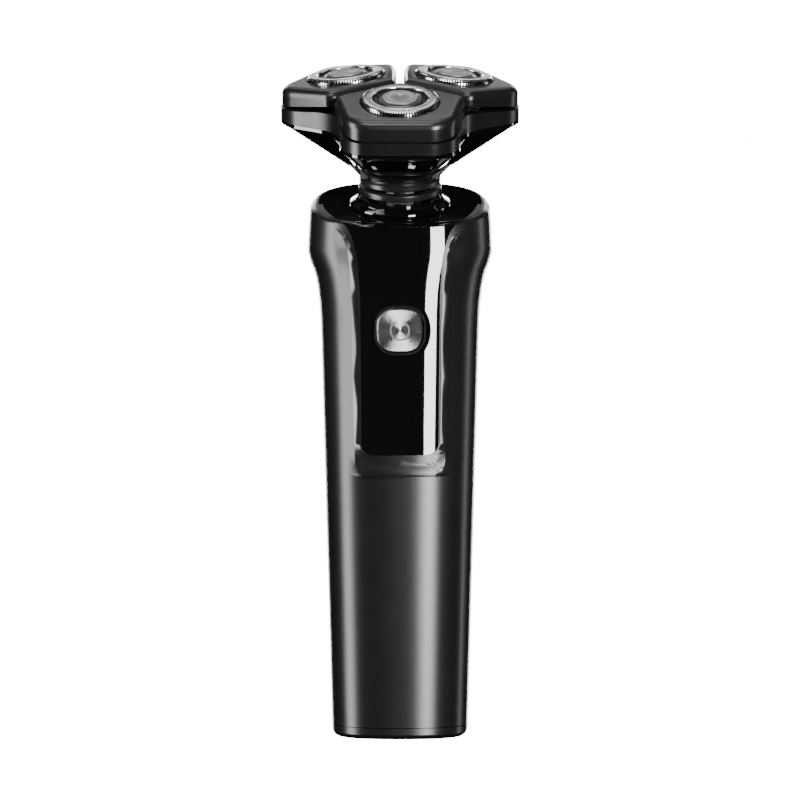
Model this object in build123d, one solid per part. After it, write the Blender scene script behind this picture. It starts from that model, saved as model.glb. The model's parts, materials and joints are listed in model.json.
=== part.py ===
from build123d import *
import math
import os

# A rotary electric shaver standing upright on its charging end.
# Origin: centre of the flat base. +Z up, the power button faces -Y.

# ------------------------------------------------------------ driving dimensions (mm)
# Handle shell stations: height, half width, depth to the front, depth to the back
HANDLE_STATIONS = (
    (3.0, 17.0, 15.2, 14.6),
    (100.0, 19.7, 17.7, 17.3),
    (104.5, 19.85, 17.85, 17.5),
    (108.5, 20.1, 18.0, 17.7),
    (112.0, 20.55, 18.15, 17.95),
    (114.5, 21.0, 18.25, 18.15),
    (116.5, 21.6, 18.35, 18.35),
    (118.5, 22.4, 18.45, 18.5),
    (121.0, 23.0, 18.5, 18.7),
    (125.0, 22.85, 18.6, 18.9),
    (144.0, 21.9, 18.5, 19.0),
)
GRIP_TOP = 100.0            # straight taper below, swelling shoulder above
SQUARENESS = 2.5            # exponent of the superellipse section
SECTION_POINTS = 20
CAP_TOP = 2.85              # bottom cap, below the 0.15 mm seam
CAP_EDGE = 2.0
WALL = 2.8
PANEL_THICK = 1.6
PANEL_GAP = 0.1             # seam round the gloss panel
SPLIT_Y = 1.0               # plane where front and back shells meet
FLOOR_TOP = 5.0

# Head axis: leans forward from the neck
HEAD_LEAN = 17.5
NECK_Y = -2.0
NECK_Z = 133.0
SHOULDER_DROP = 0.3         # shoulder top below the collar plane
SHOULDER_ROUND = 2.2

# Raised rim round the gloss panel: height, half width of the rim's inner foot,
# half width of its crest, how far the crest stands out of the shell
RIM_STATIONS = (
    (65.3, 8.4, 9.0, 0.75),
    (66.2, 8.8, 10.3, 0.95),
    (67.6, 8.6, 11.0, 1.0),
    (70.7, 6.4, 11.2, 1.0),
    (71.6, 8.5, 11.2, 1.0),
    (73.7, 9.5, 11.3, 1.0),
    (90.0, 9.7, 11.7, 1.0),
    (110.0, 9.9, 12.1, 1.0),
    (118.0, 10.5, 12.5, 1.0),
    (121.5, 11.2, 13.0, 0.95),
    (124.5, 12.1, 14.2, 0.8),
    (127.3, 13.6, 16.6, -0.1),
)
RIM_LIP = 70.7              # where the rim's lower slope reaches the panel
RIM_BLEND = 4.2             # width over which the crest dies into the side
RIM_BACK = -6.0             # the rim's solid is rooted this deep in the shell

# Gloss panel outline, right half: half width against height
PANEL_BOTTOM = 70.7
PANEL_CORNER = 3.0
PANEL_SIDE = ((9.4, 73.7), (9.75, 110.0))
PANEL_FLARE = ((10.4, 118.5), (11.5, 123.5), (13.2, 127.0), (17.7, 130.5), (19.4, 133.5))
PANEL_TOP_INSET = 2.6
PANEL_ABOVE = 150.0         # the outline is closed above the whole handle
CROWN_Z = 125.0             # height whose section outlines the panel's shoulder part
CROWN_RISE = 20.0
CROWN_DROP = 5.0

# Power button
BUTTON_Z = 101.4
BUTTON_W = 11.4
BUTTON_H = 10.8
BUTTON_R = 4.2
BUTTON_PROUD = 0.75
BUTTON_GAP = 0.2
BEZEL_W = 0.45
BUTTON_TRAVEL = 0.4
BUTTON_DEPTH = 2.9
BUTTON_EDGE = 0.35
BUTTON_RING = (2.55, 2.05, 1.15)   # engraved ring: outer and inner radius, depth past the face
BUTTON_RING_GAP = 0.8
SWITCH_Y = -13.3            # tip of the switch knob

# Neck and gimbal, heights along the head axis from the collar plane
PANEL_BORE_R = 5.95
COLLAR_R = 12.5
COLLAR_TOP = 2.2
GIMBAL_Z = 4.0
GIMBAL_RING = (3.15, 4.75)
GIMBAL_R = (8.3, 10.35)
LUG_R = (5.6, 7.9)
LUG_WIDTH = 3.0
GIMBAL_PIN_R = 0.45
RUNNING_FIT = 0.05
BEYOND = 160.0              # size of cutting blocks that outreach the shaver
NECK_RING = (5.65, 7.25)
NECK_RING_R = 10.1
NECK_CORE_R = 9.2
BOWL_BOTTOM = 8.1
BOWL_NECK_R = 10.5
BOWL_SHOULDER = 19.8
BOWL_TOP = 20.6
BOWL_WALL = 1.6
BOWL_FLOOR = 10.0
BOWL_HEIGHTS = (12.0, 16.0)
SEAL_R = 3.0
POST_R = 8.5                # circle of the posts under the gear plate
POST_ANGLES = (60, 180, 300)
POST_SIZE = 1.9
THREAD_R = 0.7              # small screws: stem and head
SMALL_HEAD_R = 1.3

# Three-lobed outline of the head: angle from a lobe's middle, radius
LOBE_POLAR = ((0, 29.2), (9, 29.6), (18, 30.2), (26, 29.1), (33, 26.6), (42, 22.1), (51, 19.7))
NOTCH_RADIUS = 18.9
LOBES = {"front": -90.0, "right": 30.0, "left": 150.0}

# Gear train
GEAR_MODULE = 0.75
CENTRE_TEETH = 16
CUTTER_TEETH = 24
PRESSURE_ANGLE = 20.0
BACKLASH = 0.16
GEAR_Z = (18.25, 19.6)
GEAR_PLATE_Z = (16.4, 17.6)
COVER_Z = (19.95, 20.55)
DRIVE_R = GEAR_MODULE * (CENTRE_TEETH + CUTTER_TEETH) / 2
CENTRE_SHAFT_R = 1.2
SPINDLE_R = 1.5
SPINDLE_TIP_R = 1.15
SPINDLE_TOP = 26.3

# Shaving unit
RING_BOTTOM = 20.7
RING_TOP_R17 = 25.5         # height of the ring's sloping top at radius 17
RING_SLOPE = 0.1475
RING_WALL = 2.5
RETAINER_Z = (21.0, 22.0)
DISC_R = 15.6
DISC_Z = 31.6
DISC_TILT = 7.0
FOIL_R = 9.7
FOIL_INNER_R = 9.2
FOIL_FLANGE_R = 10.6
FOIL_FLANGE_Z = (-3.9, -3.3)
PETAL_HOLE_R = 9.95
PETAL_POCKET_R = 10.95
PETAL_BELOW_DISC = 1.1
PETAL_APEX = 1.04
PETAL_SIDE_CORNER = (10.42, 16.25)
PETAL_TIP_CORNER = (28.7, 12.86)
PETAL_CORNER_R = (3.0, 6.9)
PETAL_TIP_FLOOR = 24.0
PETAL_FLOOR_SLOPE = 10.4
PETAL_EDGE = 2.3
HINGE_V = 24.0
HINGE_Z = 23.3
HINGE_PIN_R = 0.6
HINGE_REACH = 4.6           # half length of the hinge pin
EAR_U = (3.2, 4.6)
WINDOW_R = 8.2
SPOKE_HALF = 0.9
CAP_R = 4.35
BLADES = 15
BLADE_R = (7.3, 8.8)
BLADE_THICK = 0.35
CUTTER_TOP = -0.6
HUB_R = 3.0
HUB_FLOOR = -6.2
SOCKET_R = 2.1
SOCKET_ROOF = -3.3

# Inside the handle
BOARD_Y = (-10.4, -9.4)
BOARD_HALF = 8.5
BOARD_Z = (18.0, 112.0)
CHASSIS_Y = (-8.9, -7.7)
CHASSIS_Z = (13.0, 116.0)
BATTERY_R = 7.0
BATTERY_Y = 0.5
BATTERY_Z = (28.0, 78.0)
MOTOR_R = 7.7
MOTOR_Z = (-24.7, -4.7)
SOCKET_Y = -4.0
SOCKET_SIZE = (8.94, 3.26, 7.4)
SOCKET_LOW = 0.6
SOCKET_SHELL = 0.35
SLOT_DEPTH = 12.0
GASKET_SIZE = (12.5, 6.0, 2.9, 1.4)   # length, width, corner radius, height
CHASSIS_HALF = 9.5
CHASSIS_FOOT_HALF = 11.2
CHASSIS_FOOT_THICK = 1.8
CHASSIS_FOOT_Y = 7.0
CRADLE_WALL = 1.6
CRADLE_RING = 3.0
CRADLE_Z = (36.0, 66.0)
BOARD_SCREWS = ((-6.0, 22.0), (6.0, 108.0))
BOARD_SCREW_R = 0.7
BRACKET_R = 11.0
MOTOR_SCREW_R = 5.0
FOOT_SCREWS = (-9.0, 9.0)
FOOT_Y = 2.5
SCREW_R = 1.0
SCREW_HEAD_R = 2.0
SCREW_HEAD_TOP = 4.2
SCREW_END = 12.0

HEAD = Location((0, NECK_Y, NECK_Z), (HEAD_LEAN, 0, 0))
LOBE = {name: HEAD * Location((0, 0, 0), (0, 0, angle)) for name, angle in LOBES.items()}
DISC = {name: LOBE[name] * Location((DISC_R, 0, DISC_Z), (0, DISC_TILT, 0)) for name in LOBES}
DRIVE = {name: LOBE[name] * Location((DRIVE_R, 0, 0)) for name in LOBES}


# ------------------------------------------------------------ helpers
def between(z, stations, column):
    """Straight interpolation of one column of a station list."""
    if z <= stations[0][0]:
        return stations[0][column]
    for low, high in zip(stations, stations[1:]):
        if z <= high[0]:
            share = (z - low[0]) / (high[0] - low[0])
            return low[column] + share * (high[column] - low[column])
    return stations[-1][column]


def section(z, inset=0.0):
    """Superellipse section of the handle, deeper at the front than at the back."""
    half_width = between(z, HANDLE_STATIONS, 1) - inset
    front = between(z, HANDLE_STATIONS, 2) - inset
    back = between(z, HANDLE_STATIONS, 3) - inset
    points = []
    for i in range(SECTION_POINTS):
        angle = 2 * math.pi * i / SECTION_POINTS
        c = math.cos(angle)
        s = math.sin(angle)
        x = half_width * math.copysign(abs(c) ** (2 / SQUARENESS), c)
        depth = back if s > 0 else front
        y = depth * math.copysign(abs(s) ** (2 / SQUARENESS), s)
        points.append((x, y, z))
    return Face(Wire([Spline(*points, periodic=True)]))


def front_y(x, z):
    """Y of the shell's front surface at a given place."""
    half_width = between(z, HANDLE_STATIONS, 1)
    front = between(z, HANDLE_STATIONS, 2)
    return -front * (1 - (abs(x) / half_width) ** SQUARENESS) ** (1 / SQUARENESS)


def above_head_plane(height):
    """Everything above a plane square to the head axis."""
    return HEAD * Pos(0, 0, height + BEYOND / 2) * Box(BEYOND, BEYOND, BEYOND)


def handle_body():
    """The handle's outer form: tapering grip and swelling shoulder, cut off below the collar."""
    body = loft([section(s[0]) for s in HANDLE_STATIONS], ruled=True)
    return body - above_head_plane(-SHOULDER_DROP)


def inner_body(inset, base):
    """The handle's form shrunk by an inset, without the swell of the shoulder."""
    heights = (base, GRIP_TOP, HANDLE_STATIONS[-1][0])
    body = loft([section(z, inset) for z in heights], ruled=True)
    return body - above_head_plane(-SHOULDER_DROP - inset)


def tube(outer, inner, low, high):
    """A ring about Z between two heights."""
    ring = Pos(0, 0, (low + high) / 2) * Cylinder(outer, high - low)
    if inner > 0:
        ring -= Pos(0, 0, (low + high) / 2) * Cylinder(inner, high - low + 1)
    return ring


def rod(radius, low, high):
    return tube(radius, 0, low, high)


def block(x, y, z):
    """A box given by its low and high limits along each axis."""
    size = Box(x[1] - x[0], y[1] - y[0], z[1] - z[0])
    return Pos((x[0] + x[1]) / 2, (y[0] + y[1]) / 2, (z[0] + z[1]) / 2) * size


def turned(profile):
    """A solid of revolution about Z from (radius, height) corners."""
    face = Face(Wire(Polyline(*[(r, 0, z) for r, z in profile], close=True).edges()))
    return revolve(face, Axis.Z, 360)


def squircle(grow, y, depth):
    """The button's rounded square, grown all round, extruded along Y."""
    face = RectangleRounded(BUTTON_W + 2 * grow, BUTTON_H + 2 * grow, BUTTON_R + grow)
    placed = Plane((0, y, BUTTON_Z), x_dir=(1, 0, 0), z_dir=(0, -1, 0)) * face
    return extrude(placed, -depth)


def lobed_radius(angle, inset):
    """Radius of the three-lobed outline at an angle from the middle of a lobe."""
    for known, radius in LOBE_POLAR:
        if abs(angle) == known:
            return radius - inset
    return NOTCH_RADIUS - inset


def lobed_face(z, inset=0.0, share=1.0, neck=BOWL_NECK_R):
    """Three-lobed outline at height z, blended towards a circle as share falls to 0."""
    half = [angle for angle, _ in LOBE_POLAR]
    angles = [-a for a in reversed(half[1:])] + half + [60]
    points = []
    for start in LOBES.values():
        for angle in angles:
            lobed = lobed_radius(angle, inset)
            r = (neck - inset) + share * (lobed - (neck - inset))
            turn = math.radians(start + angle)
            points.append((r * math.cos(turn), r * math.sin(turn), z))
    return Face(Wire([Spline(*points, periodic=True)]))


def lobed_prism(low, high, inset):
    return extrude(lobed_face(low, inset), high - low, dir=(0, 0, 1))


def gear(teeth, phase, bore):
    """Involute spur gear between the gear heights, one tooth centred on phase (radians)."""
    pitch_r = GEAR_MODULE * teeth / 2
    base_r = pitch_r * math.cos(math.radians(PRESSURE_ANGLE))
    root_r = pitch_r - 1.2 * GEAR_MODULE
    tip_r = pitch_r + 0.9 * GEAR_MODULE
    flank = math.tan(math.radians(PRESSURE_ANGLE)) - math.radians(PRESSURE_ANGLE)
    half = math.pi / (2 * teeth) - BACKLASH / (4 * pitch_r)

    def half_angle(radius):
        if radius <= base_r:
            return half + flank
        roll = math.acos(base_r / radius)
        return half + flank - (math.tan(roll) - roll)

    radii = [root_r, base_r, pitch_r, tip_r]
    points = []
    for i in range(teeth):
        middle = phase + 2 * math.pi * i / teeth
        for radius in radii:
            turn = middle - half_angle(radius)
            points.append((radius * math.cos(turn), radius * math.sin(turn)))
        for radius in reversed(radii):
            turn = middle + half_angle(radius)
            points.append((radius * math.cos(turn), radius * math.sin(turn)))
    wheel = extrude(Pos(0, 0, GEAR_Z[0]) * Polygon(*points, align=None), GEAR_Z[1] - GEAR_Z[0])
    return wheel - rod(bore, GEAR_Z[0] - 1, GEAR_Z[1] + 1)


# ------------------------------------------------------------ handle shells
def panel_face(grow):
    """Outline of the gloss panel, seen from the front, on the plane y = 0."""
    floor = PANEL_BOTTOM - grow
    corner = PANEL_CORNER
    inner = PANEL_SIDE[0][0] + grow - corner
    side = [(PANEL_SIDE[0][0] + grow, floor + corner), (PANEL_SIDE[1][0] + grow, PANEL_SIDE[1][1])]
    flare = [(x + grow, z) for x, z in PANEL_FLARE]
    top = PANEL_ABOVE
    reach = corner * math.sin(math.radians(45))
    bend = (inner + reach, 0, floor + corner - reach)
    right = [
        Line((0, 0, floor), (inner, 0, floor)),
        ThreePointArc((inner, 0, floor), bend, (side[0][0], 0, side[0][1])),
        Line((side[0][0], 0, side[0][1]), (side[1][0], 0, side[1][1])),
        Spline((side[1][0], 0, side[1][1]), *[(x, 0, z) for x, z in flare]),
        Line((flare[-1][0], 0, flare[-1][1]), (flare[-1][0], 0, top)),
    ]
    left = [edge.mirror(Plane.YZ) for edge in right]
    lid = Line((-flare[-1][0], 0, top), (flare[-1][0], 0, top))
    return Face(Wire(right + left + [lid]))


def panel_zone(grow):
    """The room that the gloss panel takes: its tongue at the front and the shoulder top."""
    tongue = extrude(panel_face(grow), 40, dir=(0, -1, 0))
    tongue = tongue & block((-40, 40), (-40, NECK_Y), (0, 160))
    inset = PANEL_TOP_INSET - grow
    crown = extrude(section(CROWN_Z, inset), CROWN_RISE, dir=(0, 0, 1))
    crown += extrude(section(CROWN_Z, inset), CROWN_DROP, dir=(0, 0, -1))
    crown = crown & block((-40, 40), (NECK_Y - 0.01, 40), (0, 160))
    crown = crown & above_head_plane(-SHOULDER_DROP - PANEL_THICK)
    return tongue + crown


def rim_section(station):
    """One section of the raised rim: dies into the side, rises to the crest, falls to the panel."""
    z, foot, crest, proud = station
    blend = crest + RIM_BLEND
    sunk = 0.25
    on_slope = min(1.0, max(0.0, (RIM_LIP - z) / (RIM_LIP - RIM_STATIONS[1][0])))
    middle = proud * on_slope - sunk * (1 - on_slope)
    right = [
        (0.0, front_y(0, z) - middle),
        (foot, front_y(foot, z) - middle),
        (crest, front_y(crest, z) - proud),
        (blend, front_y(blend, z) + sunk),
        (blend - 1.0, RIM_BACK),
    ]
    left = [(-x, y) for x, y in reversed(right[1:])]
    points = [(x, y, z) for x, y in right + left]
    return Face(Wire(Polyline(*points, close=True).edges()))


def panel_rim():
    """Satin rim that frames the gloss panel as a long U."""
    return loft([rim_section(s) for s in RIM_STATIONS], ruled=True)


def outer_form():
    body = handle_body()
    top = body.faces().sort_by(Axis.Z)[-1]
    return fillet(top.edges(), SHOULDER_ROUND)


OUTER = outer_form()
UNDER_PANEL = inner_body(PANEL_THICK, HANDLE_STATIONS[0][0])
CAVITY = inner_body(WALL, FLOOR_TOP)
NECK_BORE = HEAD * rod(PANEL_BORE_R, -10, 5)


def charge_slot(grow):
    """Round-ended slot for the charging plug, through the base."""
    w, h, _ = SOCKET_SIZE
    face = RectangleRounded(w + 2 * grow, h + 2 * grow, h / 2 + grow - 0.01)
    return extrude(Pos(0, SOCKET_Y, -1) * face, SLOT_DEPTH)


def housing():
    """Both satin shells as one piece, before they are parted."""
    shell = OUTER + panel_rim()
    shell -= CAVITY
    shell -= panel_zone(PANEL_GAP) - UNDER_PANEL
    shell -= NECK_BORE
    shell -= squircle(BUTTON_GAP + BEZEL_W, -22, 12)
    shell -= charge_slot(0.0)
    for x in FOOT_SCREWS:
        shell -= Pos(x, FOOT_Y, 0) * rod(SCREW_R + RUNNING_FIT, 0, 8)
        shell -= Pos(x, FOOT_Y, 0) * rod(SCREW_HEAD_R, 0, SCREW_HEAD_TOP)
    return shell


def front_panel():
    """Gloss panel: a tongue down the front and the whole shoulder top, in one moulding."""
    panel = (OUTER - UNDER_PANEL) & panel_zone(0)
    panel -= HEAD * rod(PANEL_BORE_R, -10, 5)
    return panel - squircle(BUTTON_GAP + BEZEL_W, -22, 12)


def bottom_cap():
    cap = extrude(section(HANDLE_STATIONS[0][0]), HANDLE_STATIONS[0][0], dir=(0, 0, -1))
    cap = fillet(cap.edges().group_by(Axis.Z)[0], CAP_EDGE)
    cap -= block((-30, 30), (-30, 30), (CAP_TOP, 10))
    return cap - charge_slot(0.25)


# ------------------------------------------------------------ inside the handle
def charge_socket():
    w, h, length = SOCKET_SIZE
    low = SOCKET_LOW
    body = extrude(Pos(0, SOCKET_Y, low) * RectangleRounded(w, h, h / 2 - 0.01), length)
    thick = 2 * SOCKET_SHELL
    mouth = RectangleRounded(w - thick, h - thick, h / 2 - SOCKET_SHELL - 0.01)
    body -= extrude(Pos(0, SOCKET_Y, low) * mouth, length - 1.2)
    tongue = block((-3.3, 3.3), (SOCKET_Y - 0.35, SOCKET_Y + 0.35), (low + 0.8, low + length - 0.5))
    return body + tongue


def socket_gasket():
    length, width, corner, height = GASKET_SIZE
    ring = extrude(Pos(0, SOCKET_Y, FLOOR_TOP) * RectangleRounded(length, width, corner), height)
    return ring - charge_slot(0)


def chassis():
    """Inner frame: back plate of the board, battery cradle, foot with screw posts."""
    plate = block((-CHASSIS_HALF, CHASSIS_HALF), CHASSIS_Y, CHASSIS_Z)
    reach = (-CHASSIS_FOOT_HALF, CHASSIS_FOOT_HALF)
    top = CHASSIS_Z[0] + CHASSIS_FOOT_THICK
    foot = block(reach, (CHASSIS_Y[0], CHASSIS_FOOT_Y), (CHASSIS_Z[0], top))
    frame = plate + foot
    for z in CRADLE_Z:
        frame += Pos(0, BATTERY_Y, 0) * tube(BATTERY_R + CRADLE_WALL, BATTERY_R, z, z + CRADLE_RING)
    for x in FOOT_SCREWS:
        frame += Pos(x, FOOT_Y, 0) * rod(2.3, FLOOR_TOP, CHASSIS_Z[0] + 0.5)
    for x in FOOT_SCREWS:
        frame -= Pos(x, FOOT_Y, 0) * rod(SCREW_R, FLOOR_TOP - 1, SCREW_END)
    for x, z in BOARD_SCREWS:
        post = Pos(x, 0, z) * Rot(90, 0, 0) * rod(1.5, -CHASSIS_Y[0] - 0.01, -BOARD_Y[1])
        hole = Pos(x, 0, z) * Rot(90, 0, 0) * rod(BOARD_SCREW_R, 7, 12)
        frame = frame + post - hole
    return frame


def main_board():
    board = block((-BOARD_HALF, BOARD_HALF), BOARD_Y, BOARD_Z)
    for x, z in BOARD_SCREWS:
        board -= Pos(x, 0, z) * Rot(90, 0, 0) * rod(BOARD_SCREW_R, 7, 12)
    return board


def board_screws():
    screws = []
    for x, z in BOARD_SCREWS:
        stem = rod(BOARD_SCREW_R, -CHASSIS_Y[1] - 0.1, -BOARD_Y[0])
        head = rod(1.4, -BOARD_Y[0], -BOARD_Y[0] + 0.7)
        screws.append(Pos(x, 0, z) * Rot(90, 0, 0) * (stem + head))
    return Compound(children=screws)


def board_components():
    """Charging chip, motor driver and two capacitors on the front of the board."""
    face = BOARD_Y[0]
    return Compound(children=[
        block((-5.0, 0.0), (face - 1.0, face), (30, 35)),
        block((-2.5, 3.5), (face - 1.2, face), (60, 66)),
        block((3.5, 6.0), (face - 1.6, face), (42, 45.5)),
        block((3.5, 6.0), (face - 1.6, face), (48, 51.5)),
    ])


def tact_switch():
    low = BOARD_Y[0] - 2.4
    body = block((-3.0, 3.0), (low, BOARD_Y[0]), (BUTTON_Z - 3.0, BUTTON_Z + 3.0))
    knob = Pos(0, 0, BUTTON_Z) * Rot(90, 0, 0) * rod(1.6, -low - 0.01, -SWITCH_Y)
    return body + knob


def charge_led():
    return block((-0.8, 0.8), (BOARD_Y[0] - 0.8, BOARD_Y[0]), (84.0, 85.2))


def battery_cell():
    cell = Pos(0, BATTERY_Y, 0) * rod(BATTERY_R, *BATTERY_Z)
    button = Pos(0, BATTERY_Y, 0) * rod(2.6, BATTERY_Z[1] - 0.01, BATTERY_Z[1] + 1.0)
    return cell + button


def battery_tabs():
    """Nickel strips from the two ends of the cell to the board."""
    tabs = []
    ends = ((BATTERY_Z[0] - 0.3, BATTERY_Z[0]), (BATTERY_Z[1] + 1.0, BATTERY_Z[1] + 1.3))
    for low, high in ends:
        tabs.append(block((-2.0, 2.0), (CHASSIS_Y[1], BATTERY_Y + 3.0), (low, high)))
    return Compound(children=tabs)


def motor_case():
    case = tube(MOTOR_R, MOTOR_R - 0.8, MOTOR_Z[0] + 2.0, MOTOR_Z[1])
    face = tube(MOTOR_R, 1.6, MOTOR_Z[1] - 1.0, MOTOR_Z[1])
    boss = tube(2.9, 1.6, MOTOR_Z[1] - 0.01, MOTOR_Z[1] + 1.5)
    shell = case + face + boss
    for angle in (0, 180):
        shell -= Rot(0, 0, angle) * Pos(MOTOR_SCREW_R, 0, 0) * rod(THREAD_R, MOTOR_Z[1] - 2, MOTOR_Z[1])
    return HEAD * shell


def motor_end_cap():
    cap = tube(MOTOR_R, 1.6, MOTOR_Z[0], MOTOR_Z[0] + 2.0)
    return HEAD * cap


def motor_bracket():
    plate = tube(BRACKET_R, 2.9, MOTOR_Z[1], -SHOULDER_DROP - WALL)
    for angle in (0, 180):
        spot = Rot(0, 0, angle) * Pos(MOTOR_SCREW_R, 0, 0)
        plate -= spot * rod(THREAD_R, MOTOR_Z[1] - 1, 0)
        plate -= spot * rod(SMALL_HEAD_R, MOTOR_Z[1] + 0.8, 0)
    return HEAD * plate


def motor_screws():
    screws = []
    for angle in (0, 180):
        stem = rod(THREAD_R, MOTOR_Z[1] - 1.8, MOTOR_Z[1] + 0.8)
        head = rod(SMALL_HEAD_R, MOTOR_Z[1] + 0.8, -SHOULDER_DROP - WALL)
        screws.append(HEAD * Rot(0, 0, angle) * Pos(MOTOR_SCREW_R, 0, 0) * (stem + head))
    return Compound(children=screws)


def foot_screws():
    """Screws up through the floor into the chassis posts, covered by the bottom cap."""
    screws = []
    for x in FOOT_SCREWS:
        stem = rod(SCREW_R, SCREW_HEAD_TOP - 0.01, SCREW_END)
        head = rod(SCREW_HEAD_R - 0.1, CAP_TOP + 0.15, SCREW_HEAD_TOP)
        screws.append(Pos(x, FOOT_Y, 0) * (stem + head))
    return Compound(children=screws)


# ------------------------------------------------------------ button
def button_bezel():
    """Thin bright frame that lines the button's opening."""
    face_y = front_y(0, BUTTON_Z)
    low = face_y - 0.15
    ring = squircle(BUTTON_GAP + BEZEL_W, low, face_y + WALL - low)
    return ring - squircle(BUTTON_GAP, low - 1, 6)


def power_button():
    """Brushed key with a bevelled edge and an engraved broken ring."""
    face_y = front_y(0, BUTTON_Z) - BUTTON_PROUD
    key = squircle(0, face_y, BUTTON_DEPTH)
    key = chamfer(key.faces().sort_by(Axis.Y)[0].edges(), BUTTON_EDGE)
    outer, inner, depth = BUTTON_RING
    ring = Pos(0, face_y - 1, BUTTON_Z) * Rot(-90, 0, 0) * tube(outer, inner, 0, depth)
    gap = block((-BUTTON_RING_GAP, BUTTON_RING_GAP), (face_y - 2, face_y + 2), (BUTTON_Z, BUTTON_Z + 4))
    return key - (ring - gap)


def button_plunger():
    """Soft pad behind the key that reaches the switch."""
    back = front_y(0, BUTTON_Z) - BUTTON_PROUD + BUTTON_DEPTH
    tip = SWITCH_Y - BUTTON_TRAVEL - 0.1
    return Pos(0, 0, BUTTON_Z) * Rot(90, 0, 0) * rod(2.2, -tip, -back)


# ------------------------------------------------------------ neck
def neck_collar():
    """Round rim on the shoulder, with the two lugs of the nodding axis."""
    low = -SHOULDER_DROP
    r = COLLAR_R
    collar = turned((
        (5.2, -3.0), (5.9, -3.0), (5.9, low), (r - 0.5, low), (r, low + 0.45),
        (r - 0.1, low + 0.8), (r - 0.6, low + 1.15), (11.0, low + 1.7), (10.5, COLLAR_TOP),
        (5.2, COLLAR_TOP),
    ))
    return HEAD * (collar + lugs(COLLAR_TOP - 0.01, GIMBAL_Z + 0.75, 0))


def lugs(low, high, turn):
    """Two upright lugs with pin holes, facing each other across the neck."""
    pair = tube(LUG_R[1], LUG_R[0], low, high)
    pair &= block((-20, 20), (-LUG_WIDTH / 2, LUG_WIDTH / 2), (low - 1, high + 1))
    hole = Pos(0, 0, GIMBAL_Z) * Rot(0, 90, 0) * rod(GIMBAL_PIN_R + RUNNING_FIT, -20, 20)
    return Rot(0, 0, turn) * (pair - hole)


def gimbal_ring():
    """Ribbed ring that nods on the collar and carries the head's rocking axis."""
    ring = tube(GIMBAL_R[1], GIMBAL_R[0], *GIMBAL_RING)
    ring = fillet(ring.edges().filter_by(GeomType.CIRCLE).sort_by(SortBy.RADIUS)[-2:], 0.3)
    for turn in (0, 90):
        ring -= Pos(0, 0, GIMBAL_Z) * Rot(0, 0, turn) * Rot(0, 90, 0) * rod(GIMBAL_PIN_R, -9.6, 9.6)
    return HEAD * ring


def gimbal_pins():
    pins = []
    for turn in (0, 90, 180, 270):
        pin = Pos(0, 0, GIMBAL_Z) * Rot(0, 0, turn) * Rot(0, 90, 0)
        pins.append(HEAD * pin * rod(GIMBAL_PIN_R, LUG_R[0] + 0.1, 9.6))
    return Compound(children=pins)


def neck_ring():
    """Ribbed ring under the bowl, with the two lugs of the rocking axis."""
    low, high = NECK_RING
    bore = LUG_R[0] - 0.4
    r = NECK_RING_R
    ring = turned((
        (bore, low), (r - 0.3, low), (r, low + 0.3), (r, high - 0.3), (r - 0.3, high),
        (NECK_CORE_R, high), (NECK_CORE_R, BOWL_BOTTOM), (bore, BOWL_BOTTOM),
    ))
    return HEAD * (ring + lugs(GIMBAL_Z - 0.75, low + 0.3, 90))


# ------------------------------------------------------------ head
def bowl_share(z):
    return (z - BOWL_BOTTOM) / (BOWL_SHOULDER - BOWL_BOTTOM)


def bowl_form(inset, low, top):
    """Bowl between its round neck and its lobed shoulder, shrunk by an inset."""
    heights = [low, *BOWL_HEIGHTS, BOWL_SHOULDER]
    cup = loft([lobed_face(z, inset, bowl_share(z)) for z in heights])
    return cup + lobed_prism(BOWL_SHOULDER - 0.005, top, inset)


def head_bowl():
    bowl = bowl_form(0, BOWL_BOTTOM, BOWL_TOP) - bowl_form(BOWL_WALL, BOWL_FLOOR, BOWL_TOP + 1)
    bowl -= rod(SEAL_R, BOWL_BOTTOM - 1, BOWL_FLOOR + 1)
    for angle in POST_ANGLES:
        spot = Rot(0, 0, angle + LOBES["front"]) * Pos(POST_R, 0, 0)
        bowl += spot * rod(POST_SIZE, BOWL_FLOOR - 0.3, GEAR_PLATE_Z[0])
        bowl -= spot * rod(THREAD_R, GEAR_PLATE_Z[0] - 4, GEAR_PLATE_Z[0] + 1)
    return HEAD * bowl


def shaft_seal():
    return HEAD * tube(SEAL_R, CENTRE_SHAFT_R + RUNNING_FIT, BOWL_BOTTOM + 0.4, BOWL_FLOOR - 0.2)


def gear_plate():
    """Plate that closes the bowl's lower room and carries the gear spindles."""
    low, high = GEAR_PLATE_Z
    plate = extrude(lobed_face(low, BOWL_WALL + 0.1, bowl_share(low)), high - low, dir=(0, 0, 1))
    plate -= rod(CENTRE_SHAFT_R + RUNNING_FIT, low - 1, high + 1)
    for angle in POST_ANGLES:
        spot = Rot(0, 0, angle + LOBES["front"]) * Pos(POST_R, 0, 0)
        plate -= spot * rod(THREAD_R, low - 1, high + 1)
    plate = HEAD * plate
    for name in LOBES:
        plate -= DRIVE[name] * rod(SPINDLE_R + RUNNING_FIT, low - 1, high + 1)
    return plate


def gear_plate_screws():
    screws = []
    low, high = GEAR_PLATE_Z
    for angle in POST_ANGLES:
        spot = HEAD * Rot(0, 0, angle + LOBES["front"]) * Pos(POST_R, 0, 0)
        screws.append(spot * (rod(THREAD_R, low - 3, high) + rod(SMALL_HEAD_R, high, high + 0.5)))
    return Compound(children=screws)


def gear_cover():
    """Lid over the gears; only the spindles pass through it."""
    low, high = COVER_Z
    lid = HEAD * lobed_prism(low, high, BOWL_WALL + 0.1)
    for name in LOBES:
        lid -= DRIVE[name] * rod(SPINDLE_R + 0.3, low - 1, high + 1)
    return lid


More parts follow.
